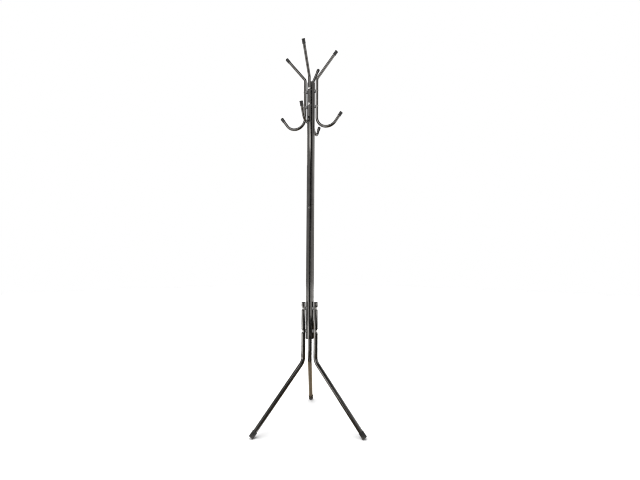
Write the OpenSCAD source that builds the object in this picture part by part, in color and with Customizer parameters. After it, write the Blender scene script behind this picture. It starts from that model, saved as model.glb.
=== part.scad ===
// Standing coat rack: a two-piece tube pole, four bent tube hangers and three bent tube legs.
// Millimetres, +Z up, floor at z = 0. The origin is the centre of the footprint's bounding box.
// Each hanger and leg is drawn with the pole axis on Z and pointing along +X, then turned into place.

/* [Pole] */
// Outside diameter of both pole tubes
pole_d = 36; // [32:1:40]
// Wall thickness of the pole tubes
pole_wall = 1; // [0.8:0.1:1.5]
// Height of the pole's lower end above the floor
pole_bottom_z = 370; // [350:5:380]
// Length of the lower pole tube
lower_pole_len = 603; // [560:1:640]
// Height of the pole's upper end above the floor
pole_top_z = 1556; // [1550:1:1562]
// Length of the necked spigot that slides into the lower tube
spigot_len = 50; // [40:1:70]
// Distance of the joint screw below the seam
joint_screw_drop = 15; // [12:1:20]

/* [Hangers] */
// Outside diameter of the hanger tube
hanger_d = 12.7; // [12:0.1:13]
// Wall thickness of the hanger tube
hanger_wall = 1; // [0.8:0.1:1.2]
// Lean of the upper prong from the vertical, in degrees
prong_angle = 38.5; // [30:0.5:45]
// Height at which the prong bend starts
prong_bend_z = 1568.5; // [1564:0.5:1580]
// Centreline radius of the prong bend
prong_bend_r = 20; // [16:1:30]
// Straight length of the prong tube after its bend
prong_len = 144; // [100:1:170]
// Height of the centre of the hook bend
hook_bend_z = 1388; // [1375:1:1400]
// Centreline radius of the hook bend
hook_bend_r = 49; // [40:1:55]
// Angle that the hook bend turns through, in degrees
hook_sweep = 144; // [120:1:165]
// Straight length of the hook tube after its bend
hook_tip_len = 47; // [25:1:60]
// Heights of the two hanger screws
hanger_screw_z = [1516, 1441];
// Depth of the flat that is pressed into the hanger under each screw head
hanger_seat_depth = 0.9; // [0.6:0.1:1.2]

/* [Legs] */
// Outside diameter of the leg tube
leg_d = 18; // [17:0.5:20]
// Wall thickness of the leg tube
leg_wall = 1.2; // [1:0.1:1.5]
// Height of the upper end of the leg tube
leg_tube_top_z = 529; // [520:1:540]
// Height at which the leg bend starts
leg_bend_z = 291; // [275:1:310]
// Centreline radius of the leg bend
leg_bend_r = 50; // [40:1:60]
// Lean of the lower leg from the vertical, in degrees
leg_angle = 41; // [36:0.5:45]
// Heights of the two leg screws
leg_screw_z = [503, 403];
// Depth of the dimple that is pressed into the leg around each screw head
leg_dimple_depth = 6.5; // [5:0.5:8]

/* [Spacers and fasteners] */
// Thickness of the spacer between the pole and a hanger or leg
spacer_gap = 4.5; // [4:0.5:6]
// Diameter of the spacer
spacer_d = 14; // [13:0.5:15]
// Thread diameter of the hanger and leg screws
screw_d = 6; // [5:0.5:6]
// Length of those screws under the head
screw_len = 25; // [23:1:26]
// Diameter of the screw heads
screw_head_d = 10.5; // [9:0.5:10.5]
// Height of the screw heads
screw_head_h = 3.3; // [2.8:0.1:3.6]

/* [Caps and plugs] */
// Outside diameter of the prong and hook caps
tip_cap_d = 15.5; // [14.5:0.1:17]
// Length of the prong and hook caps
tip_cap_len = 20; // [14:1:26]
// Outside diameter of the foot caps
foot_cap_d = 22; // [21.5:0.5:24]
// Length of the foot caps
foot_cap_len = 26; // [20:1:32]
// Depth of the flat that the foot cap stands on
foot_flat_depth = 2.2; // [1.5:0.1:2.5]
// Thickness of the closed end of every cap
cap_end = 2.6; // [2:0.1:3.5]

/* [Hidden] */
$fn = 96;
HANGER_FN = 56;                // keeps the long double-bent hanger light
EPS = 0.01;
JOIN = 0.1;                    // a bend is drawn this much thinner, and straight runs reach this far into it
LONG = 60;                     // longer than any cross hole or cut needs
TUBE_COLOUR = [0.16, 0.16, 0.17];
PLASTIC_COLOUR = [0.05, 0.05, 0.05];
SPACER_COLOUR = [0.35, 0.35, 0.36];
STEEL_COLOUR = [0.80, 0.80, 0.82];

pole_r = pole_d / 2;
pole_bore_r = pole_r - pole_wall;
seam_z = pole_bottom_z + lower_pole_len;
spigot_r = pole_bore_r - 0.1;
spigot_bore_r = spigot_r - pole_wall;
shoulder_h = 2;                // height over which the upper tube necks down, inside
seam_bevel = 0.5;              // bevel on both edges of the seam
joint_screw_z = seam_z - joint_screw_drop;

hanger_r = hanger_d / 2;
hanger_axis_r = pole_r + spacer_gap + hanger_r;
leg_r = leg_d / 2;
leg_axis_r = pole_r + spacer_gap + leg_r;

// The leg's straight part ends where the foot cap's flat meets the floor.
foot_end_z = foot_cap_d / 2 * sin(leg_angle) - foot_flat_depth;
leg_knee_z = leg_bend_z - leg_bend_r * sin(leg_angle);
leg_knee_r = leg_axis_r + leg_bend_r * (1 - cos(leg_angle));
leg_straight = (leg_knee_z - foot_end_z) / cos(leg_angle) - cap_end;
foot_end_r = leg_knee_r + (leg_straight + cap_end) * sin(leg_angle);

// Hangers point along the frame's axes; one leg stands midway between two of them.
HANGER_TURN = [-90, 0, 90, 180];   // front, right, back, left
LEG_TURN = [225, 345, 105];        // left, right, rear
function foot_extent(off) = foot_end_r * cos(off)
    + norm([foot_cap_d / 2 * cos(leg_angle) * cos(off), foot_cap_d / 2 * sin(off)]);
pole_shift = (foot_extent(15) - foot_extent(45)) / 2;

rivet_body_r = 4.5;            // rivet nut: body, flange and upset collar
rivet_flange_r = 5.3;
rivet_flange_h = 0.8;
rivet_collar_r = 5.7;
rivet_collar_h = 1.6;
rivet_len = 13;
screw_clearance = 0.2;         // play of the screws in the tubes and spacers, on the radius
spacer_wrap = 3;               // how far the spacer's lips reach round the hanger or leg

joint_thread_d = 5;            // the pole's joint screw is a size smaller
joint_head_d = 9;
joint_head_h = 2.7;
joint_screw_len = 9;
joint_seat_depth = 0.35;
joint_nut_width = 10;
joint_nut_h = 5;

// ---- Placing ----

module on_pole(turn = 0) {
    translate([-pole_shift, -pole_shift, 0]) rotate([0, 0, turn]) children();
}

// Lays children drawn along +Z onto the +X direction at height z.
module radial(z) {
    translate([0, 0, z]) rotate([0, 90, 0]) children();
}

// ---- Tube shapes, in the XZ plane ----

// A bend that starts at [x, z] on a vertical run and turns outwards, up (way = 1) or down (way = -1).
module bend(x, z, bend_r, sweep, way, r) {
    translate([x + bend_r, 0, z]) rotate([90, 0, 0])
        rotate([0, 0, way > 0 ? 180 - sweep : 180])
            rotate_extrude(angle = sweep) translate([bend_r, 0]) circle(r - JOIN);
}

// The frame at the outer end of such a bend: children's +Z runs on along the tube.
module after_bend(x, z, bend_r, sweep, way) {
    translate([x + bend_r, 0, z]) rotate([0, way * sweep, 0]) translate([-bend_r, 0, 0])
        rotate([way > 0 ? 0 : 180, 0, 0]) children();
}

// Straight run of rod that starts at a bend, and ends at another if bends is 2.
module straight(r, len, bends = 1) {
    translate([0, 0, -JOIN]) cylinder(r = r, h = len + bends * JOIN);
}

// Solid rod of radius r along the hanger's centreline, its ends longer by extra.
module hanger_rod(r, extra = 0) {
    translate([hanger_axis_r, 0, hook_bend_z]) straight(r, prong_bend_z - hook_bend_z, 2);
    bend(hanger_axis_r, prong_bend_z, prong_bend_r, prong_angle, 1, r);
    after_bend(hanger_axis_r, prong_bend_z, prong_bend_r, prong_angle, 1)
        straight(r, prong_len + extra);
    bend(hanger_axis_r, hook_bend_z, hook_bend_r, hook_sweep, -1, r);
    after_bend(hanger_axis_r, hook_bend_z, hook_bend_r, hook_sweep, -1)
        straight(r, hook_tip_len + extra);
}

// Solid rod of radius r along the leg's centreline, its ends longer by extra.
module leg_rod(r, extra = 0) {
    translate([leg_axis_r, 0, leg_bend_z]) straight(r, leg_tube_top_z - leg_bend_z + extra);
    bend(leg_axis_r, leg_bend_z, leg_bend_r, leg_angle, -1, r);
    after_bend(leg_axis_r, leg_bend_z, leg_bend_r, leg_angle, -1)
        straight(r, leg_straight + extra);
}

// What a pressed seat takes off a tube: a flat floor at x, flared towards the outside.
module seat(x, z, half_h, flare) {
    translate([x, LONG / 2, z]) rotate([90, 0, 0]) linear_extrude(LONG)
        polygon([[0, -half_h], [LONG, -half_h - flare * LONG], [LONG, half_h + flare * LONG], [0, half_h]]);
}

// ---- Pole ----

module upper_pole() {
    color(TUBE_COLOUR) on_pole() difference() {
        rotate_extrude() polygon([
            [spigot_bore_r, seam_z - spigot_len], [spigot_r - 0.5, seam_z - spigot_len],
            [spigot_r, seam_z - spigot_len + 1], [spigot_r, seam_z],
            [pole_r - seam_bevel, seam_z], [pole_r, seam_z + seam_bevel],
            [pole_r, pole_top_z], [pole_bore_r, pole_top_z],
            [pole_bore_r, seam_z + 2 * shoulder_h], [spigot_bore_r, seam_z + shoulder_h]
        ]);
        for (turn = HANGER_TURN, z = hanger_screw_z)
            rotate([0, 0, turn]) radial(z) cylinder(r = rivet_body_r, h = LONG);
        rotate([0, 0, HANGER_TURN[0]]) radial(joint_screw_z)
            cylinder(d = joint_thread_d + 2 * screw_clearance, h = LONG);
    }
}

module lower_pole() {
    color(TUBE_COLOUR) on_pole() difference() {
        rotate_extrude() polygon([
            [pole_bore_r, pole_bottom_z], [pole_r, pole_bottom_z],
            [pole_r, seam_z - seam_bevel], [pole_r - seam_bevel, seam_z], [pole_bore_r, seam_z]
        ]);
        for (turn = LEG_TURN, z = leg_screw_z)
            rotate([0, 0, turn]) radial(z) cylinder(r = rivet_body_r, h = LONG);
        rotate([0, 0, HANGER_TURN[0]]) {
            radial(joint_screw_z) cylinder(d = joint_thread_d + 2 * screw_clearance, h = LONG);
            seat(pole_r - joint_seat_depth, joint_screw_z, joint_head_d / 2 + 0.5, 1);
        }
    }
}

// Moulded end plug: a flange over the tube's end and a hollow stem inside it. Its +Z points out of the tube.
module end_plug(r, bore_r, flange_h, crown_h, stem_len, stem_wall) {
    crown_r = (r * r + crown_h * crown_h) / (2 * crown_h);
    difference() {
        union() {
            cylinder(r = r, h = flange_h);
            translate([0, 0, flange_h]) intersection() {
                translate([0, 0, crown_h - crown_r]) sphere(crown_r, $fn = 180);
                cylinder(r = r, h = crown_h);
            }
            translate([0, 0, -stem_len]) cylinder(r = bore_r, h = stem_len);
        }
        translate([0, 0, -stem_len - 1]) cylinder(r = bore_r - stem_wall, h = stem_len + 1);
    }
}

module pole_top_cap() {
    color(PLASTIC_COLOUR) on_pole() translate([0, 0, pole_top_z])
        end_plug(pole_r, pole_bore_r, 1.5, 2, 14, 2);
}

module pole_bottom_plug() {
    color(PLASTIC_COLOUR) on_pole() translate([0, 0, pole_bottom_z]) rotate([180, 0, 0])
        end_plug(pole_r, pole_bore_r, 2, 1, 12, 2);
}

// ---- Fasteners ----

// Round-head screw with a cross slot: head underside at z = 0, head towards +Z.
module round_head_screw(d, len, head_d, head_h) {
    rim_h = head_h * 0.2;
    dome_h = head_h - rim_h;
    dome_r = (head_d * head_d / 4 + dome_h * dome_h) / (2 * dome_h);
    slot_len = head_d * 0.56;
    slot_w = head_d * 0.12;
    difference() {
        union() {
            cylinder(d = head_d, h = rim_h);
            translate([0, 0, rim_h]) intersection() {
                translate([0, 0, dome_h - dome_r]) sphere(dome_r);
                cylinder(d = head_d, h = dome_h);
            }
        }
        for (turn = [0, 90]) rotate([0, 0, turn])
            translate([-slot_len / 2, -slot_w / 2, head_h * 0.45]) cube([slot_len, slot_w, head_h]);
    }
    translate([0, 0, 1 - len]) cylinder(d = d, h = len - 1);
    translate([0, 0, -len]) cylinder(d1 = d - 1.2, d2 = d, h = 1);
}

// A pair of screws whose heads sit at radius seat_r.
module screw_pair(seat_r, heights) {
    color(STEEL_COLOUR) for (z = heights) radial(z) translate([0, 0, seat_r])
        round_head_screw(screw_d, screw_len, screw_head_d, screw_head_h);
}

// Rivet nut in the pole's wall: its flange and its upset collar follow the round wall.
module rivet_nut(z) {
    difference() {
        union() {
            radial(z) translate([0, 0, pole_r + rivet_flange_h - rivet_len])
                cylinder(r = rivet_body_r, h = rivet_len - rivet_flange_h - pole_wall);
            intersection() {
                radial(z) cylinder(r = rivet_body_r, h = LONG);
                translate([0, 0, z - LONG / 2]) cylinder(r = pole_r, h = LONG);
                radial(z) translate([0, 0, pole_r - pole_wall - EPS - 1]) cylinder(r = LONG, h = LONG);
            }
            wall_disc(z, rivet_flange_r, pole_r, pole_r + rivet_flange_h);
            wall_disc(z, rivet_collar_r, pole_bore_r - rivet_collar_h, pole_bore_r);
        }
        radial(z) cylinder(d = screw_d, h = LONG);
    }
}

// Round disc of radius r, curved to lie between two radii of the pole.
module wall_disc(z, r, inner_r, outer_r) {
    intersection() {
        radial(z) cylinder(r = r, h = LONG);
        translate([0, 0, z - r - 1]) difference() {
            cylinder(r = outer_r, h = 2 * r + 2);
            translate([0, 0, -1]) cylinder(r = inner_r, h = 2 * r + 4);
        }
    }
}

module hanger_rivet_nuts() {
    color(STEEL_COLOUR) for (turn = HANGER_TURN, z = hanger_screw_z) on_pole(turn) rivet_nut(z);
}

module leg_rivet_nuts() {
    color(STEEL_COLOUR) for (turn = LEG_TURN, z = leg_screw_z) on_pole(turn) rivet_nut(z);
}

module joint_screw() {
    color(STEEL_COLOUR) on_pole(HANGER_TURN[0]) radial(joint_screw_z)
        translate([0, 0, pole_r - joint_seat_depth])
            round_head_screw(joint_thread_d, joint_screw_len, joint_head_d, joint_head_h);
}

// Square weld nut inside the spigot.
module joint_nut() {
    color(STEEL_COLOUR) on_pole(HANGER_TURN[0]) difference() {
        intersection() {
            translate([spigot_bore_r - joint_nut_h, -joint_nut_width / 2, joint_screw_z - joint_nut_width / 2])
                cube([joint_nut_h, joint_nut_width, joint_nut_width]);
            translate([0, 0, joint_screw_z - joint_nut_width]) cylinder(r = spigot_bore_r, h = 2 * joint_nut_width);
        }
        radial(joint_screw_z) cylinder(d = joint_thread_d, h = LONG);
    }
}

// ---- Spacers ----

// Saddle spacers: hollowed for the pole on one side and for the tube at axis_r on the other.
module spacer_pair(axis_r, tube_r, heights) {
    color(SPACER_COLOUR) for (z = heights) difference() {
        radial(z) cylinder(d = spacer_d, h = axis_r - tube_r + spacer_wrap);
        translate([0, 0, z - spacer_d]) cylinder(r = pole_r, h = 2 * spacer_d);
        translate([axis_r, 0, z - spacer_d]) cylinder(r = tube_r, h = 2 * spacer_d);
        radial(z) cylinder(d = screw_d + 2 * screw_clearance, h = LONG);
        wall_disc(z, rivet_flange_r + 0.3, pole_r - 1, pole_r + rivet_flange_h);
    }
}

// ---- Hangers ----

module hanger(turn) {
    $fn = HANGER_FN;
    seat_x = hanger_axis_r + hanger_r - hanger_seat_depth;
    seat_half = screw_head_d / 2 + 0.5;
    color(TUBE_COLOUR) on_pole(turn) difference() {
        hanger_rod(hanger_r);
        difference() {
            hanger_rod(hanger_r - hanger_wall, 1);
            for (z = hanger_screw_z) seat(seat_x - hanger_wall, z, seat_half, 1);
        }
        for (z = hanger_screw_z) {
            seat(seat_x, z, seat_half, 1);
            radial(z) cylinder(d = screw_d + 2 * screw_clearance, h = LONG);
        }
    }
}

module hanger_screws(turn) {
    on_pole(turn) screw_pair(hanger_axis_r + hanger_r - hanger_seat_depth, hanger_screw_z);
}

module hanger_spacers(turn) {
    on_pole(turn) spacer_pair(hanger_axis_r, hanger_r, hanger_screw_z);
}

// Slip-on cap with rounded edges: the tube's end is at z = 0 and the closed end towards +Z.
module cap(d, bore_d, len) {
    edge_r = 1.6;
    lip_r = 0.6;
    translate([0, 0, cap_end - len]) difference() {
        rotate_extrude() union() {
            translate([0, lip_r]) square([d / 2, len - lip_r - edge_r]);
            square([d / 2 - lip_r, len]);
            translate([0, len - edge_r]) square([d / 2 - edge_r, edge_r]);
            intersection() {
                translate([d / 2 - edge_r, len - edge_r]) circle(edge_r);
                translate([0, len - edge_r]) square([d, edge_r]);
            }
            intersection() {
                translate([d / 2 - lip_r, lip_r]) circle(lip_r);
                square([d, lip_r]);
            }
        }
        translate([0, 0, -1]) cylinder(d = bore_d, h = len - cap_end + 1);
    }
}

module prong_cap(turn) {
    color(PLASTIC_COLOUR) on_pole(turn)
        after_bend(hanger_axis_r, prong_bend_z, prong_bend_r, prong_angle, 1)
            translate([0, 0, prong_len]) cap(tip_cap_d, hanger_d, tip_cap_len);
}

module hook_cap(turn) {
    color(PLASTIC_COLOUR) on_pole(turn)
        after_bend(hanger_axis_r, hook_bend_z, hook_bend_r, hook_sweep, -1)
            translate([0, 0, hook_tip_len]) cap(tip_cap_d, hanger_d, tip_cap_len);
}

// ---- Legs ----

module leg(turn) {
    seat_x = leg_axis_r + leg_r - leg_dimple_depth;
    seat_half = screw_head_d / 2 + 0.7;
    color(TUBE_COLOUR) on_pole(turn) difference() {
        leg_rod(leg_r);
        difference() {
            leg_rod(leg_r - leg_wall, 1);
            for (z = leg_screw_z) seat(seat_x - leg_wall, z, seat_half + leg_wall * 0.6, 0.45);
        }
        for (z = leg_screw_z) {
            seat(seat_x, z, seat_half, 0.45);
            radial(z) cylinder(d = screw_d + 2 * screw_clearance, h = LONG);
        }
    }
}

module leg_screws(turn) {
    on_pole(turn) screw_pair(leg_axis_r + leg_r - leg_dimple_depth, leg_screw_z);
}

module leg_spacers(turn) {
    on_pole(turn) spacer_pair(leg_axis_r, leg_r, leg_screw_z);
}

module leg_plug(turn) {
    color(PLASTIC_COLOUR) on_pole(turn) translate([leg_axis_r, 0, leg_tube_top_z])
        end_plug(leg_r, leg_r - leg_wall, 1.2, 1.6, 10, 1.4);
}

module foot_cap(turn) {
    color(PLASTIC_COLOUR) on_pole(turn) difference() {
        after_bend(leg_axis_r, leg_bend_z, leg_bend_r, leg_angle, -1)
            translate([0, 0, leg_straight]) cap(foot_cap_d, leg_d, foot_cap_len);
        translate([foot_end_r - LONG, -LONG, -LONG]) cube([2 * LONG, 2 * LONG, LONG]);
    }
}

// ---- Assembly ----

upper_pole();
lower_pole();
pole_top_cap();
pole_bottom_plug();
joint_screw();
joint_nut();
hanger(HANGER_TURN[0]);  // front_hanger
hanger(HANGER_TURN[1]);  // right_hanger
hanger(HANGER_TURN[2]);  // back_hanger
hanger(HANGER_TURN[3]);  // left_hanger
prong_cap(HANGER_TURN[0]);  // front_prong_cap
prong_cap(HANGER_TURN[1]);  // right_prong_cap
prong_cap(HANGER_TURN[2]);  // back_prong_cap
prong_cap(HANGER_TURN[3]);  // left_prong_cap
hook_cap(HANGER_TURN[0]);  // front_hook_cap
hook_cap(HANGER_TURN[1]);  // right_hook_cap
hook_cap(HANGER_TURN[2]);  // back_hook_cap
hook_cap(HANGER_TURN[3]);  // left_hook_cap
hanger_spacers(HANGER_TURN[0]);  // front_hanger_spacers
hanger_spacers(HANGER_TURN[1]);  // right_hanger_spacers
hanger_spacers(HANGER_TURN[2]);  // back_hanger_spacers
hanger_spacers(HANGER_TURN[3]);  // left_hanger_spacers
hanger_screws(HANGER_TURN[0]);  // front_hanger_screws
hanger_screws(HANGER_TURN[1]);  // right_hanger_screws
hanger_screws(HANGER_TURN[2]);  // back_hanger_screws
hanger_screws(HANGER_TURN[3]);  // left_hanger_screws
hanger_rivet_nuts();
leg(LEG_TURN[0]);  // left_leg
leg(LEG_TURN[1]);  // right_leg
leg(LEG_TURN[2]);  // rear_leg
leg_plug(LEG_TURN[0]);  // left_leg_plug
leg_plug(LEG_TURN[1]);  // right_leg_plug
leg_plug(LEG_TURN[2]);  // rear_leg_plug
foot_cap(LEG_TURN[0]);  // left_foot_cap
foot_cap(LEG_TURN[1]);  // right_foot_cap
foot_cap(LEG_TURN[2]);  // rear_foot_cap
leg_spacers(LEG_TURN[0]);  // left_leg_spacers
leg_spacers(LEG_TURN[1]);  // right_leg_spacers
leg_spacers(LEG_TURN[2]);  // rear_leg_spacers
leg_screws(LEG_TURN[0]);  // left_leg_screws
leg_screws(LEG_TURN[1]);  // right_leg_screws
leg_screws(LEG_TURN[2]);  // rear_leg_screws
leg_rivet_nuts();
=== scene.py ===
"""Looks of the standing coat rack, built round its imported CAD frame.

Metres, +Z up, floor at z = 0. Each hanger and leg is worked out in its own upright half-plane through
the pole's axis, with coordinates (out, z), where out is the distance from that axis. It is then turned
to its bearing.
"""

import math

import bpy
from mathutils import Matrix, Vector


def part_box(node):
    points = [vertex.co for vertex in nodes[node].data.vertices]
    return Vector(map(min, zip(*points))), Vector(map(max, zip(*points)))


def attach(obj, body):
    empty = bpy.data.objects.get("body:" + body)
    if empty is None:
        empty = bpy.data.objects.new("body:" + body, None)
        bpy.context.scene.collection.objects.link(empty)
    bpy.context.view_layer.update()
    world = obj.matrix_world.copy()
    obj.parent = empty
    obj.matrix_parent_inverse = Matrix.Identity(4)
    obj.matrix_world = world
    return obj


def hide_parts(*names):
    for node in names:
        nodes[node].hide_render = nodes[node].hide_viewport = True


MM = 0.001

# Shapes that the frame doesn't tell; places, lengths and outer diameters come from it
PRONG_LEAN = math.radians(38.5)
PRONG_BEND_R = 20 * MM
HOOK_SWEEP = math.radians(144)
HOOK_BEND_R = 49 * MM
LEG_LEAN = math.radians(41)
LEG_BEND_R = 50 * MM
HEAD_H = 3.3 * MM
SCREW_D = 6 * MM
SCREW_LEN = 25 * MM            # under the head
JOINT_HEAD_H = 2.7 * MM
JOINT_SCREW_D = 5 * MM
JOINT_SCREW_LEN = 9 * MM
CAP_END = 2.6 * MM             # thickness of a slip-on cap's closed end
TIP_CAP_LEN = 20 * MM
FOOT_CAP_LEN = 26 * MM
POLE_WALL = 1 * MM
LEG_WALL = 1.2 * MM

HANGERS = ("front", "right", "back", "left")
LEGS = ("left", "right", "rear")

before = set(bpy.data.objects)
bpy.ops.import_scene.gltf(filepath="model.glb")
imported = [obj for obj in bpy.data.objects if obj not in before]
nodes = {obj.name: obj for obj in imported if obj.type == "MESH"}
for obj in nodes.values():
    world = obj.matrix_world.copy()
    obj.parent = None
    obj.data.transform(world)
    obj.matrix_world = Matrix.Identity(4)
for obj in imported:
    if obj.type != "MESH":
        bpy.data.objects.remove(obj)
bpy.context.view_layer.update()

pole_lo, pole_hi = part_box("upper_pole")
POLE_AXIS = (pole_lo + pole_hi) / 2
POLE_AXIS.z = 0


# ---- Reading the frame ----

def bearing_of(node):
    """Direction of a node's centre from the pole's axis, in radians from +X."""
    lo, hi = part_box(node)
    centre = (lo + hi) / 2 - POLE_AXIS
    return math.atan2(centre.y, centre.x)


def turned_box(node, bearing):
    """A node's lowest and highest corner (out, across, z) in the frame turned about the pole to bearing."""
    back = Matrix.Rotation(-bearing, 3, "Z")
    points = [back @ (v.co - POLE_AXIS) for v in nodes[node].data.vertices]
    lo = Vector(min(p[i] for p in points) for i in range(3))
    hi = Vector(max(p[i] for p in points) for i in range(3))
    return lo, hi


def place_at(bearing):
    """Takes (out, across, z) of a half-plane at bearing to the frame."""
    return Matrix.Translation(POLE_AXIS) @ Matrix.Rotation(bearing, 4, "Z")


# ---- Meshes ----

def add_mesh(name, verts, faces, material, place=None, sharp_degrees=40):
    mesh = bpy.data.meshes.new(name)
    mesh.from_pydata([tuple(v) for v in verts], [], faces)
    if place is not None:
        mesh.transform(place)
    mesh.shade_smooth()
    mesh.set_sharp_from_angle(angle=math.radians(sharp_degrees))
    mesh.materials.append(material)
    mesh.validate()
    piece = bpy.data.objects.new(name, mesh)
    bpy.context.scene.collection.objects.link(piece)
    return piece


def finish_piece(piece, slot, *replaced):
    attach(piece, "root")
    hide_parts(*replaced)


def circle(radius, segments):
    """Points (x, y) of a circle, anticlockwise from +X."""
    angles = [2 * math.pi * k / segments for k in range(segments)]
    return [(radius * math.cos(angle), radius * math.sin(angle)) for angle in angles]


def band(low, high, segments):
    """Faces between two rings of points, whose first points are numbers low and high.

    They face outwards if the rings run clockwise as seen from the high one.
    """
    after = [(k + 1) % segments for k in range(segments)]
    return [(low + k, high + k, high + n, low + n) for k, n in enumerate(after)]


def rounded_profile(corners, steps=6):
    """Points of a profile whose corners (x, y, fillet radius) are rounded by arcs."""
    points = []
    for i, (x, y, radius) in enumerate(corners):
        here = Vector((x, y))
        if radius == 0 or i in (0, len(corners) - 1):
            points.append(here)
            continue
        to_prev = (Vector(corners[i - 1][:2]) - here).normalized()
        to_next = (Vector(corners[i + 1][:2]) - here).normalized()
        half = to_prev.angle(to_next) / 2
        start = here + to_prev * radius / math.tan(half)
        centre = here + (to_prev + to_next).normalized() * radius / math.sin(half)
        sweep = math.pi - 2 * half
        first = start - centre
        side = 1 if to_prev.x * to_next.y - to_prev.y * to_next.x < 0 else -1
        for k in range(steps + 1):
            turn = side * sweep * k / steps
            points.append(centre + Matrix.Rotation(turn, 2) @ first)
    return points


def revolve(profile, segments):
    """Verts and faces of a profile (radius, height) turned round +Z. Its points on the axis stay single."""
    verts, rings, faces = [], [], []
    for radius, height in profile:
        if radius < 1e-7:
            rings.append([len(verts)])
            verts.append(Vector((0, 0, height)))
            continue
        rings.append(list(range(len(verts), len(verts) + segments)))
        verts += [Vector((x, y, height)) for x, y in circle(radius, segments)]
    for low, high in zip(rings, rings[1:]):
        for k in range(segments):
            n = (k + 1) % segments
            if len(low) == 1:
                faces.append((low[0], high[n], high[k]))
            elif len(high) == 1:
                faces.append((low[k], low[n], high[0]))
            else:
                faces.append((low[k], low[n], high[n], high[k]))
    return verts, faces


def join_parts(parts):
    """Verts and faces of several (verts, faces, place) together."""
    verts, faces = [], []
    for part_verts, part_faces, place in parts:
        first = len(verts)
        verts += [place @ v for v in part_verts]
        faces += [tuple(first + i for i in face) for face in part_faces]
    return verts, faces


# ---- Materials ----

class Shader:
    """A node material: a Principled surface and short calls that add and link nodes."""

    def __init__(self, name, **inputs):
        self.material = bpy.data.materials.new(name)
        self.material.use_nodes = True
        self.tree = self.material.node_tree
        self.surface = self.tree.nodes["Principled BSDF"]
        for key, value in inputs.items():
            self.surface.inputs[key.replace("_", " ")].default_value = value

    def node(self, kind, settings=None, **inputs):
        made = self.tree.nodes.new(kind)
        for key, value in (settings or {}).items():
            setattr(made, key, value)
        for key, value in inputs.items():
            socket = made.inputs[key.replace("_", " ")]
            if isinstance(value, bpy.types.NodeSocket):
                self.tree.links.new(value, socket)
            else:
                socket.default_value = value
        return made

    def coords(self, attribute=None, scale=(1, 1, 1)):
        """Object coordinates, or a stored attribute of the mesh, scaled."""
        if attribute:
            source = self.node("ShaderNodeAttribute", {"attribute_name": attribute}).outputs["Vector"]
        else:
            source = self.node("ShaderNodeTexCoord").outputs["Object"]
        return self.node("ShaderNodeMapping", Vector=source, Scale=scale).outputs["Vector"]

    def noise(self, vector, scale, detail=3.0, roughness=0.5):
        made = self.node("ShaderNodeTexNoise", Vector=vector, Scale=scale, Detail=detail,
                         Roughness=roughness)
        return made.outputs["Fac"]

    def spread(self, value, low, high, from_low=0.3, from_high=0.7):
        """Takes from_low to from_high, where most of a noise lies, smoothly to low to high."""
        made = self.node("ShaderNodeMapRange", {"interpolation_type": "SMOOTHSTEP"}, Value=value,
                         From_Min=from_low, From_Max=from_high, To_Min=low, To_Max=high)
        return made.outputs["Result"]

    def math(self, operation, a, b):
        made = self.node("ShaderNodeMath", {"operation": operation})
        for socket, value in zip(made.inputs, (a, b)):
            if isinstance(value, bpy.types.NodeSocket):
                self.tree.links.new(value, socket)
            else:
                socket.default_value = value
        return made.outputs[0]

    def colours(self, factor, dark, light):
        made = self.node("ShaderNodeValToRGB", Fac=factor)
        made.color_ramp.elements[0].color = (*dark, 1)
        made.color_ramp.elements[1].color = (*light, 1)
        return made.outputs["Color"]

    def bump(self, height, distance, normal=None):
        made = self.node("ShaderNodeBump", Height=height, Distance=distance, Strength=1.0)
        if normal is not None:
            self.tree.links.new(normal, made.inputs["Normal"])
        return made.outputs["Normal"]

    def drive(self, key, value):
        """Links a value to an input of the surface."""
        self.tree.links.new(value, self.surface.inputs[key])


DRAW_LINE_SCALE = (14.0, 900.0)    # of noise along and across a drawn tube
TUBE_DARK = (0.135, 0.130, 0.124)
TUBE_LIGHT = (0.185, 0.178, 0.168)
DUST = (0.20, 0.19, 0.175)
DUST_TOP = 22 * MM
DUST_BOTTOM = 2 * MM


def black_nickel(name, attribute, along):
    """Polished dark plating on drawn tube: faint draw lines along it, cloudy sheen, smudges and pits."""
    shader = Shader(name, Metallic=1.0)
    lengthwise, crosswise = DRAW_LINE_SCALE
    scale = tuple(lengthwise if axis == along else crosswise for axis in range(3))
    plain = shader.coords(attribute)
    draw_lines = shader.noise(shader.coords(attribute, scale), 1.0, 2.0)
    cloud = shader.noise(plain, 38.0, 3.0, 0.6)
    smudge = shader.noise(plain, 9.0, 4.0, 0.65)
    cells = shader.node("ShaderNodeTexVoronoi", {"feature": "F1"}, Vector=plain, Scale=420.0)
    pit = shader.spread(cells.outputs["Distance"], 0.0, 1.0, 0.04, 0.16)
    tone = shader.math("ADD", shader.math("MULTIPLY", cloud, 0.6), shader.math("MULTIPLY", draw_lines, 0.4))
    shader.drive("Base Color", shader.colours(shader.spread(tone, 0, 1), TUBE_DARK, TUBE_LIGHT))
    line_sheen = shader.spread(draw_lines, 0.07, 0.12)
    smudge_sheen = shader.spread(smudge, 0.0, 0.10, 0.5, 0.75)
    shader.drive("Roughness", shader.math("ADD", line_sheen, smudge_sheen))
    lined = shader.bump(draw_lines, 0.004 * MM)
    clouded = shader.bump(cloud, 0.03 * MM, normal=lined)
    shader.drive("Normal", shader.bump(pit, 0.002 * MM, normal=clouded))
    return shader.material


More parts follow.
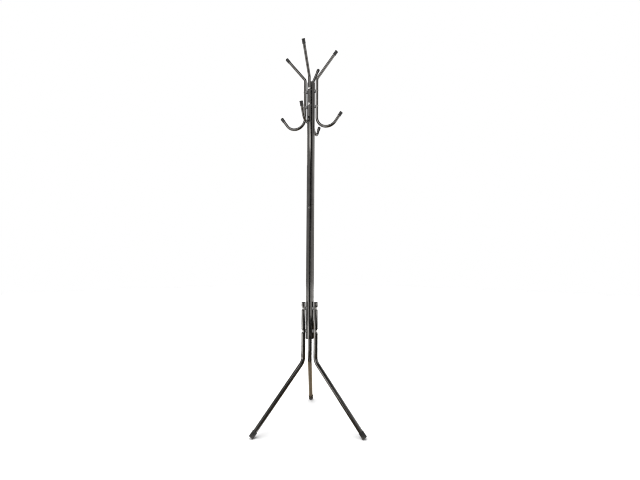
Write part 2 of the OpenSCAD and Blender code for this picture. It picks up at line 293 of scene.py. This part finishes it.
def moulded_plastic(name, dark, light, gloss, grain=900.0, dusty=0.0):
    """Moulded plastic: fine eroded grain, patchy gloss and, near the floor, a little dust."""
    shader = Shader(name, IOR=1.48)
    plain = shader.coords()
    grain_height = shader.noise(plain, grain, 2.0)
    patch = shader.noise(plain, 120.0, 3.0, 0.6)
    colour = shader.colours(shader.spread(patch, 0, 1), dark, light)
    if dusty:
        height = shader.node("ShaderNodeSeparateXYZ", Vector=plain).outputs["Z"]
        low = shader.spread(height, dusty, 0.0, DUST_BOTTOM, DUST_TOP)
        speckle = shader.spread(shader.noise(plain, 260.0, 4.0, 0.7), 0, 1, 0.35, 0.7)
        mix = shader.node("ShaderNodeMix", {"data_type": "RGBA"})
        shader.tree.links.new(shader.math("MULTIPLY", low, speckle), mix.inputs["Factor"])
        shader.tree.links.new(colour, mix.inputs[6])
        mix.inputs[7].default_value = (*DUST, 1)
        colour = mix.outputs[2]
    shader.drive("Base Color", colour)
    shader.drive("Roughness", shader.spread(patch, gloss, gloss + 0.16))
    shader.drive("Normal", shader.bump(grain_height, 0.03 * MM))
    return shader.material


def bright_plating(name, dark, light, roughness, metallic=1.0):
    """Bright plated steel: barrel-finished, with fine scratches in all directions."""
    shader = Shader(name, Metallic=metallic)
    cloud = shader.noise(shader.coords(), 240.0, 3.0, 0.6)
    scratch = shader.noise(shader.coords(scale=(260.0, 1500.0, 700.0)), 1.0, 2.0)
    shader.drive("Base Color", shader.colours(shader.spread(cloud, 0, 1), dark, light))
    worn = shader.spread(cloud, roughness, roughness + 0.1)
    shader.drive("Roughness", shader.math("ADD", shader.spread(scratch, 0.0, 0.12), worn))
    shader.drive("Normal", shader.bump(scratch, 0.008 * MM))
    return shader.material


TUBE_RUN = "tube_run"          # attribute: where a point would be if its tube were straight, along X
tube_material = black_nickel("black_nickel_bent", TUBE_RUN, 0)
pole_material = black_nickel("black_nickel_pole", None, 2)
cap_material = moulded_plastic(
    "cap_plastic", (0.018, 0.018, 0.018), (0.034, 0.033, 0.032), gloss=0.24)
foot_material = moulded_plastic(
    "foot_plastic", (0.010, 0.010, 0.010), (0.020, 0.019, 0.018), gloss=0.42, grain=700.0, dusty=0.6)
spacer_material = moulded_plastic(
    "spacer_plastic", (0.15, 0.15, 0.15), (0.21, 0.21, 0.21), gloss=0.38)
screw_material = bright_plating(
    "screw_nickel", (0.84, 0.83, 0.81), (0.94, 0.93, 0.91), roughness=0.26, metallic=0.55)
joint_screw_material = bright_plating(
    "joint_screw_nickel", (0.30, 0.29, 0.28), (0.42, 0.41, 0.40), roughness=0.22)
nut_material = bright_plating(
    "nut_zinc", (0.50, 0.50, 0.50), (0.66, 0.66, 0.65), roughness=0.30)


# ---- Bent tubes ----

def heading_vector(heading):
    return Vector((math.cos(heading), math.sin(heading)))


class Run:
    """A tube's centreline in the (out, z) plane, walked by straight stretches and arcs."""

    def __init__(self, out, z, heading):
        self.at = Vector((out, z))
        self.heading = heading         # angle of travel, from +out towards +z
        self.length = 0.0
        self.stations = []             # (point, heading, length so far)

    def mark(self):
        self.stations.append((self.at.copy(), self.heading, self.length))

    def straight(self, length, spacing):
        """Walks straight. spacing is one step, or a function of z that gives the step there."""
        end = self.length + length
        while self.length < end - 1e-9:
            self.mark()
            step = spacing(self.at.y) if callable(spacing) else spacing
            if end - self.length < 1.5 * step:
                step = end - self.length
            self.at += heading_vector(self.heading) * step
            self.length += step

    def arc(self, radius, sweep, steps):
        """Turns by sweep, positive anticlockwise."""
        half = sweep / steps / 2
        for _ in range(steps):
            self.mark()
            self.heading += half
            self.at += heading_vector(self.heading) * 2 * radius * math.sin(abs(half))
            self.heading += half
            self.length += 2 * abs(half) * radius


def soft_min(a, b, blend):
    """The lower of a and b, rounded where they cross."""
    h = max(blend - abs(a - b), 0) / blend
    return min(a, b) - h * h * blend / 4


class Press:
    """A flat seat pressed into a tube's outer side round a screw head.

    It lies floor beyond the tube's axis, reaches half_length up and down from z, and then runs out with
    a slope of 1 / flare. blend rounds its edges, and spread is how much the squeezed wall bulges sideways.
    """

    def __init__(self, z, floor, half_length, flare, blend, spread):
        self.z, self.floor, self.half_length = z, floor, half_length
        self.flare, self.blend, self.spread = flare, blend, spread

    def apply(self, z, out, across):
        """The pressed place of a point of the wall; out and across are measured from the tube's axis."""
        beyond = abs(z - self.z) - self.half_length
        rise = (math.sqrt(beyond * beyond + self.blend**2) + beyond) / (2 * self.flare)
        pressed = soft_min(out, self.floor + rise, self.blend)
        return pressed, across * (1 + self.spread * (out - pressed))


def bent_tube(name, run, radius, presses, bearing, segments=40):
    """Sweeps a circle along a run, pressed on its upright stretch where presses say, with closed ends."""
    run.mark()
    verts, straightened = [], []
    for at, heading, length in run.stations:
        normal = Vector((math.sin(heading), -math.cos(heading)))
        upright = abs(math.cos(heading)) < 1e-3
        for side, across in circle(radius, segments):
            straightened.append((length, side, across))
            if upright:
                out = side * normal.x
                for press in presses:
                    out, across = press.apply(at.y, out, across)
                side = out * normal.x
            point = at + normal * side
            verts.append(Vector((point.x, across, point.y)))
    last = (len(run.stations) - 1) * segments
    faces = []
    for first in range(0, last, segments):
        faces += band(first + segments, first, segments)
    faces.append(tuple(reversed(range(segments))))
    faces.append(tuple(range(last, last + segments)))
    piece = add_mesh(name, verts, faces, tube_material, place_at(bearing))
    run_of = piece.data.attributes.new(TUBE_RUN, "FLOAT_VECTOR", "POINT")
    run_of.data.foreach_set("vector", [c for p in straightened for c in p])
    return piece


def spacing_near(presses, reach, fine, coarse):
    """Step length at a height: fine where a press shapes the tube."""
    def spacing(z):
        return fine if any(abs(z - p.z) < reach for p in presses) else coarse
    return spacing


def screw_heights(node, bearing):
    """Of a node's two screws: the heights, upper first, the seats' distance out and the heads' radius."""
    lo, hi = turned_box(node, bearing)
    head_r = (hi.y - lo.y) / 2
    return (hi.z - head_r, lo.z + head_r), hi.x - HEAD_H, head_r


def cap_centre(node, bearing):
    """Centre (out, z) of a cap's node."""
    lo, hi = turned_box(node, bearing)
    return Vector(((lo.x + hi.x) / 2, (lo.z + hi.z) / 2))


class Hanger:
    """Where one hanger's tube runs, worked out from its node and its two caps."""

    def __init__(self, side):
        self.side = side
        self.bearing = bearing_of(f"{side}_prong_cap")
        lo, hi = turned_box(f"{side}_hanger", self.bearing)
        self.radius = (hi.y - lo.y) / 2
        self.out = lo.x + self.radius
        self.prong_dir = Vector((math.sin(PRONG_LEAN), math.cos(PRONG_LEAN)))
        self.hook_dir = Vector((math.sin(HOOK_SWEEP), -math.cos(HOOK_SWEEP)))
        reach = TIP_CAP_LEN / 2 - CAP_END
        self.prong_end = cap_centre(f"{side}_prong_cap", self.bearing) + self.prong_dir * reach
        self.hook_end = cap_centre(f"{side}_hook_cap", self.bearing) + self.hook_dir * reach
        run_out = self.prong_end.x - self.out - PRONG_BEND_R * (1 - math.cos(PRONG_LEAN))
        self.prong_len = run_out / self.prong_dir.x
        rise = PRONG_BEND_R * math.sin(PRONG_LEAN) + self.prong_len * self.prong_dir.y
        self.prong_z = self.prong_end.y - rise
        run_out = self.hook_end.x - self.out - HOOK_BEND_R * (1 - math.cos(HOOK_SWEEP))
        self.hook_len = run_out / self.hook_dir.x
        drop = HOOK_BEND_R * math.sin(HOOK_SWEEP) - self.hook_len * self.hook_dir.y
        self.hook_z = self.hook_end.y + drop
        self.screws = f"{side}_hanger_screws"
        self.screw_z, self.seat_out, self.head_r = screw_heights(self.screws, self.bearing)

    def build(self):
        presses = [Press(z, floor=self.seat_out - self.out, half_length=self.head_r + 0.6 * MM,
                         flare=1.0, blend=0.5 * MM, spread=14.0) for z in self.screw_z]
        run = Run(self.prong_end.x, self.prong_end.y, -math.pi / 2 - PRONG_LEAN)
        run.straight(self.prong_len, 6 * MM)
        run.arc(PRONG_BEND_R, PRONG_LEAN, 14)
        spacing = spacing_near(presses, reach=11 * MM, fine=0.5 * MM, coarse=6 * MM)
        run.straight(self.prong_z - self.hook_z, spacing)
        run.arc(HOOK_BEND_R, HOOK_SWEEP, 48)
        run.straight(self.hook_len, 6 * MM)
        tube = bent_tube(f"{self.side}_hanger_tube", run, self.radius, presses, self.bearing)
        finish_piece(tube, "tube", f"{self.side}_hanger")


class Leg:
    """Where one leg's tube runs, worked out from its node and its plug."""

    def __init__(self, side):
        self.side = side
        self.bearing = bearing_of(f"{side}_leg_plug")
        lo, hi = turned_box(f"{side}_leg", self.bearing)
        self.radius = (hi.y - lo.y) / 2
        self.out = lo.x + self.radius
        self.top_z = hi.z
        self.foot_dir = Vector((math.sin(LEG_LEAN), -math.cos(LEG_LEAN)))
        end_edge = Vector((math.cos(LEG_LEAN), -math.sin(LEG_LEAN))) * self.radius
        self.foot_end = Vector((hi.x, lo.z)) - end_edge
        run_out = self.foot_end.x - self.out - LEG_BEND_R * (1 - math.cos(LEG_LEAN))
        self.foot_len = run_out / self.foot_dir.x
        drop = LEG_BEND_R * math.sin(LEG_LEAN) - self.foot_len * self.foot_dir.y
        self.bend_z = self.foot_end.y + drop
        self.screws = f"{side}_leg_screws"
        self.screw_z, self.seat_out, self.head_r = screw_heights(self.screws, self.bearing)

    def build(self):
        presses = [Press(z, floor=self.seat_out - self.out, half_length=self.head_r + 0.7 * MM,
                         flare=0.45, blend=1.3 * MM, spread=22.0) for z in self.screw_z]
        run = Run(self.out, self.top_z, -math.pi / 2)
        spacing = spacing_near(presses, reach=14 * MM, fine=0.5 * MM, coarse=6 * MM)
        run.straight(self.top_z - self.bend_z, spacing)
        run.arc(LEG_BEND_R, LEG_LEAN, 24)
        run.straight(self.foot_len, 8 * MM)
        tube = bent_tube(f"{self.side}_leg_tube", run, self.radius, presses, self.bearing, 48)
        finish_piece(tube, "tube", f"{self.side}_leg")


# ---- Caps and plugs ----

def cap_profile(outer_r, bore_r, length):
    """A slip-on cap from the inside of its closed end, round its open lip, to the outside at height 0.

    It has a ring at the lip, a slightly slimmer sleeve and a moulding mark in the middle of the end.
    """
    ring, ring_r = 2.2 * MM, outer_r - 0.35 * MM
    return rounded_profile([
        (bore_r, -CAP_END, 0), (bore_r, -length, 0.2 * MM), (outer_r, -length, 0.55 * MM),
        (outer_r, -length + ring, 0.3 * MM), (ring_r, -length + ring + 0.5 * MM, 0.3 * MM),
        (ring_r, -5.2 * MM, 0.6 * MM), (outer_r, -4.4 * MM, 0.6 * MM), (outer_r, 0, 1.6 * MM),
        (1.3 * MM, 0, 0.15 * MM), (1.0 * MM, -0.35 * MM, 0.15 * MM), (0, -0.35 * MM, 0),
    ])


def add_cap(name, end, direction, bearing, outer_r, bore_r, length, material):
    """A cap whose closed end's outer face stands CAP_END beyond the tube's end."""
    tip = end + direction * CAP_END
    turn = Matrix.Rotation(math.atan2(direction.x, direction.y), 4, "Y")
    place = place_at(bearing) @ Matrix.Translation((tip.x, 0, tip.y)) @ turn
    profile = cap_profile(outer_r, bore_r, length)
    verts, faces = revolve([(0, -CAP_END), *profile], 56)
    return add_mesh(name, verts, faces, material, place, 50)


def add_hanger_caps(hanger):
    for part, end, direction in (("prong_cap", hanger.prong_end, hanger.prong_dir),
                                 ("hook_cap", hanger.hook_end, hanger.hook_dir)):
        node = f"{hanger.side}_{part}"
        lo, hi = turned_box(node, hanger.bearing)
        cap = add_cap(f"{node}_moulded", end, direction, hanger.bearing, (hi.y - lo.y) / 2, hanger.radius,
                      TIP_CAP_LEN, cap_material)
        finish_piece(cap, "plastic", node)


def add_foot_cap(leg):
    node = f"{leg.side}_foot_cap"
    lo, hi = turned_box(node, leg.bearing)
    cap = add_cap(f"{node}_moulded", leg.foot_end, leg.foot_dir, leg.bearing, (hi.y - lo.y) / 2, leg.radius,
                  FOOT_CAP_LEN, foot_material)
    for v in cap.data.vertices:
        v.co.z = max(v.co.z, 0.0)      # the side worn flat by the floor
    finish_piece(cap, "foot", node)


def plug_profile(outer_r, stem_r, flange_h, crown_h, stem_len):
    """Domed end plug from the end of its stem up to its crown; the tube's end is at z = 0."""
    crown_r = (outer_r**2 + crown_h**2) / (2 * crown_h)
    seam = 0.02 * MM
    corners = [
        (0, -stem_len, 0), (stem_r - 0.6 * MM, -stem_len, 0.2 * MM),
        (stem_r, -stem_len + 1.2 * MM, 0.4 * MM), (stem_r, seam, 0),
        (outer_r, seam, 0.25 * MM), (outer_r, flange_h + 0.15 * MM, 0.5 * MM),
    ]
    steps = 14
    reach = math.asin((outer_r - 0.9 * MM) / crown_r)
    for k in range(steps):
        angle = reach * (1 - k / steps)
        height = flange_h + crown_h - crown_r * (1 - math.cos(angle))
        corners.append((crown_r * math.sin(angle), height, 0))
    return rounded_profile([*corners, (0, flange_h + crown_h, 0)])


def add_plug(node, place, outer_r, stem_r, flange_h, crown_h, stem_len):
    verts, faces = revolve(plug_profile(outer_r, stem_r, flange_h, crown_h, stem_len), 72)
    finish_piece(add_mesh(f"{node}_moulded", verts, faces, cap_material, place, 50), "plastic", node)


def add_plugs(legs):
    pole_r = (pole_hi.x - pole_lo.x) / 2
    top = Matrix.Translation((*POLE_AXIS.xy, pole_hi.z))
    add_plug("pole_top_cap", top, pole_r, pole_r - POLE_WALL,
             flange_h=1.5 * MM, crown_h=2 * MM, stem_len=14 * MM)
    bottom = Matrix.Translation((*POLE_AXIS.xy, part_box("lower_pole")[0].z))
    add_plug("pole_bottom_plug", bottom @ Matrix.Rotation(math.pi, 4, "X"), pole_r, pole_r - POLE_WALL,
             flange_h=2 * MM, crown_h=1 * MM, stem_len=12 * MM)
    for leg in legs:
        place = place_at(leg.bearing) @ Matrix.Translation((leg.out, 0, leg.top_z))
        add_plug(f"{leg.side}_leg_plug", place, leg.radius, leg.radius - LEG_WALL,
                 flange_h=1.2 * MM, crown_h=1.6 * MM, stem_len=10 * MM)


# ---- Screws ----

def cross_recess(x, y, size):
    """Depth, from 0 to 1, of a tapered cross recess at a point of a screw head."""
    def arm(along, across):
        width = size * (0.20 - 0.10 * min(abs(along) / size, 1))
        inside = min(width - abs(across), (size - abs(along)) * 0.8)
        return min(max(inside / (size * 0.10), 0), 1)
    depth = max(arm(x, y), arm(y, x))
    centre = min(max(1.25 - math.hypot(x, y) / (size * 0.9), 0), 1)
    return depth * (0.35 + 0.65 * centre)


def screw_parts(diameter, length, head_r, head_h):
    """Verts and faces of a round-head, cross-recessed screw; its head rises from z = 0 along +Z."""
    segments, rings = 96, 34
    rim = head_h * 0.24
    dome_h = head_h - rim
    dome_r = (head_r**2 + dome_h**2) / (2 * dome_h)
    recess_depth, recess_size = head_h * 0.62, head_r * 0.60
    verts, faces = [Vector((0, 0, head_h - recess_depth))], []
    for ring in range(1, rings + 1):
        radius = head_r * (1 - (1 - ring / rings) ** 1.15)
        dome = rim + math.sqrt(max(dome_r**2 - radius**2, 0)) - (dome_r - dome_h)
        for x, y in circle(radius, segments):
            verts.append(Vector((x, y, dome - recess_depth * cross_recess(x, y, recess_size))))
    shank_r = diameter / 2
    below_rim = rounded_profile([
        (head_r, rim, 0), (head_r, 0, 0.3 * MM), (shank_r, 0, 0.2 * MM), (shank_r, 0.8 * MM - length, 0),
        (shank_r - 0.6 * MM, -length, 0), (0, -length, 0),
    ], 4)[1:-1]
    for radius, height in below_rim:
        verts += [Vector((x, y, height)) for x, y in circle(radius, segments)]
    last = len(verts) - segments
    faces += [(0, 1 + k, 1 + (k + 1) % segments) for k in range(segments)]
    for first in range(1, last, segments):
        faces += band(first, first + segments, segments)
    tip = len(verts)
    verts.append(Vector((0, 0, -length)))
    faces += [(last + k, tip, last + (k + 1) % segments) for k in range(segments)]
    return verts, faces


def along_bearing(out, z, spin):
    """Lays +Z along the outward direction at (out, z), after a spin about it."""
    lay = Matrix.Rotation(math.pi / 2, 4, "Y")
    return Matrix.Translation((out, 0, z)) @ lay @ Matrix.Rotation(spin, 4, "Z")


def add_screws(holder, spin):
    """The two screws of a hanger or a leg, each driven to another angle."""
    verts, faces = screw_parts(SCREW_D, SCREW_LEN, holder.head_r, HEAD_H)
    places = [along_bearing(holder.seat_out, z, spin + 0.9 * k) for k, z in enumerate(holder.screw_z)]
    made = join_parts([(verts, faces, place) for place in places])
    screws = add_mesh(f"{holder.screws}_turned", *made, screw_material, place_at(holder.bearing), 32)
    finish_piece(screws, "screw", holder.screws)


def add_joint_screw():
    """The screw that locks the two pole tubes together."""
    bearing = bearing_of("joint_screw")
    lo, hi = turned_box("joint_screw", bearing)
    head_r = (hi.y - lo.y) / 2
    verts, faces = screw_parts(JOINT_SCREW_D, JOINT_SCREW_LEN, head_r, JOINT_HEAD_H)
    place = place_at(bearing) @ along_bearing(hi.x - JOINT_HEAD_H, (lo.z + hi.z) / 2, 0.4)
    made = add_mesh("joint_screw_turned", verts, faces, joint_screw_material, place, 32)
    finish_piece(made, "joint_screw", "joint_screw")


# ---- CAD nodes that stay ----

def dress_nodes():
    """Gives the nodes that stay their materials."""
    dressed = {"upper_pole": pole_material, "lower_pole": pole_material, "joint_nut": nut_material,
               "hanger_rivet_nuts": nut_material, "leg_rivet_nuts": nut_material}
    dressed |= {f"{side}_hanger_spacers": spacer_material for side in HANGERS}
    dressed |= {f"{side}_leg_spacers": spacer_material for side in LEGS}
    for node, material in dressed.items():
        nodes[node].data.materials.clear()
        nodes[node].data.materials.append(material)


# ---- Studio ----

CAMERA_BEARING = math.radians(16.94 - 90)
CAMERA_DISTANCE = 1.509            # from the pole's axis
CAMERA_HEIGHT = 0.7016
CAMERA_YAW = math.radians(1.71)    # to the right of the pole
CAMERA_PITCH = math.radians(4.15)
CAMERA_ROLL = math.radians(0.24)
CAMERA_LENS = 18.54
FLAG_DISTANCE = 1.25               # of most cards, from the pole's axis
BOARD_GREY = 0.5

# Brightness of the room at the sine of an elevation: walls, dark ceiling, bright overhead
ROOM_GREYS = ((0.48, 0.55), (0.70, 0.10), (0.90, 0.10), (0.97, 0.9))


def seen_from_camera(bearing_degrees, distance, z):
    """A point round the pole: bearing 0 is on the camera's side, and 90 is to the right in the picture."""
    bearing = CAMERA_BEARING + math.radians(bearing_degrees)
    return POLE_AXIS + Vector((distance * math.cos(bearing), distance * math.sin(bearing), z))


def add_camera():
    data = bpy.data.cameras.new("camera")
    data.lens = CAMERA_LENS
    data.sensor_width = 36
    camera = bpy.data.objects.new("camera", data)
    bpy.context.scene.collection.objects.link(camera)
    heading = CAMERA_BEARING + math.pi - CAMERA_YAW
    level = Vector((math.cos(heading), math.sin(heading), 0)) * math.cos(CAMERA_PITCH)
    look = level + Vector((0, 0, math.sin(CAMERA_PITCH)))
    turn = look.to_track_quat("-Z", "Y").to_matrix().to_4x4() @ Matrix.Rotation(CAMERA_ROLL, 4, "Z")
    camera.matrix_world = Matrix.Translation(seen_from_camera(0, CAMERA_DISTANCE, CAMERA_HEIGHT)) @ turn
    bpy.context.scene.camera = camera


def add_softbox(name, bearing, distance, z, width, height, radiance, aim_z):
    """A rectangular area light that faces the pole at height aim_z."""
    data = bpy.data.lights.new(name, "AREA")
    data.shape = "RECTANGLE"
    data.size, data.size_y = width, height
    data.energy = radiance * math.pi * width * height
    light = bpy.data.objects.new(name, data)
    bpy.context.scene.collection.objects.link(light)
    light.location = seen_from_camera(bearing, distance, z)
    aim = Vector((POLE_AXIS.x, POLE_AXIS.y, aim_z)) - light.location
    light.rotation_euler = aim.to_track_quat("-Z", "Y").to_euler()
    light.visible_camera = False


def reflections_only(card):
    """Keeps a card of the studio out of sight of everything but glossy reflections."""
    card.visible_camera = False
    card.visible_diffuse = False
    card.visible_shadow = False
    card.visible_transmission = False


def curved_strip(bearings, edges, steps):
    """Verts and faces of a strip round the pole between two edges, each a (distance, z)."""
    verts, faces = [], []
    for k in range(steps + 1):
        bearing = bearings[0] + (bearings[1] - bearings[0]) * k / steps
        verts += [seen_from_camera(bearing, distance, z) for distance, z in edges]
    for k in range(steps):
        faces.append((2 * k, 2 * k + 2, 2 * k + 3, 2 * k + 1))
    return verts, faces


def add_card(name, bearings, heights, distance, grey, glow=0.0):
    """A curved upright card that only reflections see, whose colour is painted reflection: a dark flag
    paints a dark reflection, and with some glow a board paints a bright reflection, glowing though it is no
    lamp.
    """
    shader = Shader(f"{name}_painted_reflection", Base_Color=(grey, grey, grey, 1), Roughness=1.0,
                    Emission_Color=(1, 1, 1, 1), Emission_Strength=glow)
    strip = curved_strip(bearings, [(distance, z) for z in heights], 24)
    reflections_only(add_mesh(name, *strip, shader.material))


def add_floor_card(name, bearings, distances, z, colour):
    """A brown or tan sheet just above the floor that only reflections see: painted reflection of a brown
    floor, while the camera sees the floor pale.
    """
    shader = Shader(f"{name}_painted_reflection", Base_Color=(*colour, 1), Roughness=1.0)
    strip = curved_strip(bearings, [(distance, z) for distance in distances], 48)
    reflections_only(add_mesh(name, *strip, shader.material))


def add_floor():
    shader = Shader("floor_paper", Roughness=0.9)
    shader.surface.inputs["Specular IOR Level"].default_value = 0.1
    tone = shader.noise(shader.coords(), 3.0, 4.0)
    shader.drive("Base Color", shader.colours(tone, (0.90, 0.90, 0.90), (0.93, 0.93, 0.93)))
    verts, faces = revolve([(0, 0), (2.5, 0), (9.0, 0)], 96)
    floor = add_mesh("floor", verts, faces, shader.material, Matrix.Translation(POLE_AXIS))


def add_world():
    """White to the camera; a softer grey room to everything that is lit."""
    world = bpy.data.worlds.new("studio")
    bpy.context.scene.world = world
    world.use_nodes = True
    tree = world.node_tree
    tree.nodes.clear()
    seen = tree.nodes.new("ShaderNodeBackground")
    seen.inputs["Color"].default_value = (1, 1, 1, 1)
    room = tree.nodes.new("ShaderNodeBackground")
    height = tree.nodes.new("ShaderNodeSeparateXYZ")
    tree.links.new(tree.nodes.new("ShaderNodeTexCoord").outputs["Generated"], height.inputs[0])
    fade = tree.nodes.new("ShaderNodeValToRGB")
    fade.color_ramp.interpolation = "EASE"
    stops = fade.color_ramp.elements
    while len(stops) < len(ROOM_GREYS):
        stops.new(1.0)
    for stop, (sine, grey) in zip(stops, ROOM_GREYS):
        stop.position = sine
        stop.color = (grey, grey, grey, 1)
    tree.links.new(height.outputs["Z"], fade.inputs["Fac"])
    tree.links.new(fade.outputs["Color"], room.inputs["Color"])
    path = tree.nodes.new("ShaderNodeLightPath")
    mix = tree.nodes.new("ShaderNodeMixShader")
    out = tree.nodes.new("ShaderNodeOutputWorld")
    tree.links.new(path.outputs["Is Camera Ray"], mix.inputs[0])
    tree.links.new(room.outputs[0], mix.inputs[1])
    tree.links.new(seen.outputs[0], mix.inputs[2])
    tree.links.new(mix.outputs[0], out.inputs["Surface"])


def add_sun():
    """A broad overhead light that reflections don't see."""
    data = bpy.data.lights.new("overhead", "SUN")
    data.energy = 3.0
    data.angle = math.radians(70)
    sun = bpy.data.objects.new("overhead", data)
    bpy.context.scene.collection.objects.link(sun)
    sun.rotation_euler = (math.radians(12), math.radians(-10), 0)
    sun.visible_glossy = False


def add_studio():
    add_camera()
    add_floor()
    add_world()
    add_sun()
    add_softbox("key_left_high", bearing=-24, distance=2.2, z=2.58, width=2.0, height=1.06,
                radiance=1.8, aim_z=1.2)
    add_softbox("fill_left_low", bearing=-58, distance=1.3, z=0.12, width=1.0, height=0.20,
                radiance=2.0, aim_z=0.35)
    add_softbox("fill_right", bearing=95, distance=2.4, z=1.2, width=0.9, height=2.0,
                radiance=0.8, aim_z=0.9)
    # Cards seen only in reflections: the glowing boards paint bright reflections and the flags paint dark
    # reflections
    add_card("board_left_low", (-150, -20), (0.0, 0.22), 1.2, BOARD_GREY, glow=1.7)
    add_card("board_left", (-178, -96), (1.54, 1.90), FLAG_DISTANCE, BOARD_GREY, glow=0.70)
    add_card("flag_front", (-26, 16), (0.03, 1.58), FLAG_DISTANCE, 0.09)
    add_card("flag_front_right", (16, 34), (1.0, 1.58), FLAG_DISTANCE, 0.09)
    add_card("flag_front_high", (3, 34), (1.58, 2.7), FLAG_DISTANCE, 0.04)
    add_card("flag_left_high", (-178, -66), (1.90, 2.7), FLAG_DISTANCE, 0.05)
    add_card("flag_right_low", (16, 100), (0.02, 0.30), 1.10, 0.06)
    # Painted reflections of a brown floor all round, lighter and tan under the rear leg
    add_floor_card("floor_card", (-45, 275), (0.02, 2.6), 1 * MM, (0.110, 0.088, 0.058))
    add_floor_card("floor_card_rear", (135, 225), (0.02, 0.6), 2 * MM, (0.60, 0.48, 0.34))


# ---- Assembly ----

hangers = [Hanger(side) for side in HANGERS]
legs = [Leg(side) for side in LEGS]
for number, hanger in enumerate(hangers):
    hanger.build()
    add_hanger_caps(hanger)
    add_screws(hanger, 0.3 + number)
for number, leg in enumerate(legs):
    leg.build()
    add_foot_cap(leg)
    add_screws(leg, 0.7 + number)
add_plugs(legs)
add_joint_screw()
dress_nodes()
add_studio()
bpy.context.scene.view_settings.view_transform = "Standard"
bpy.context.scene.cycles.filter_width = 1.0
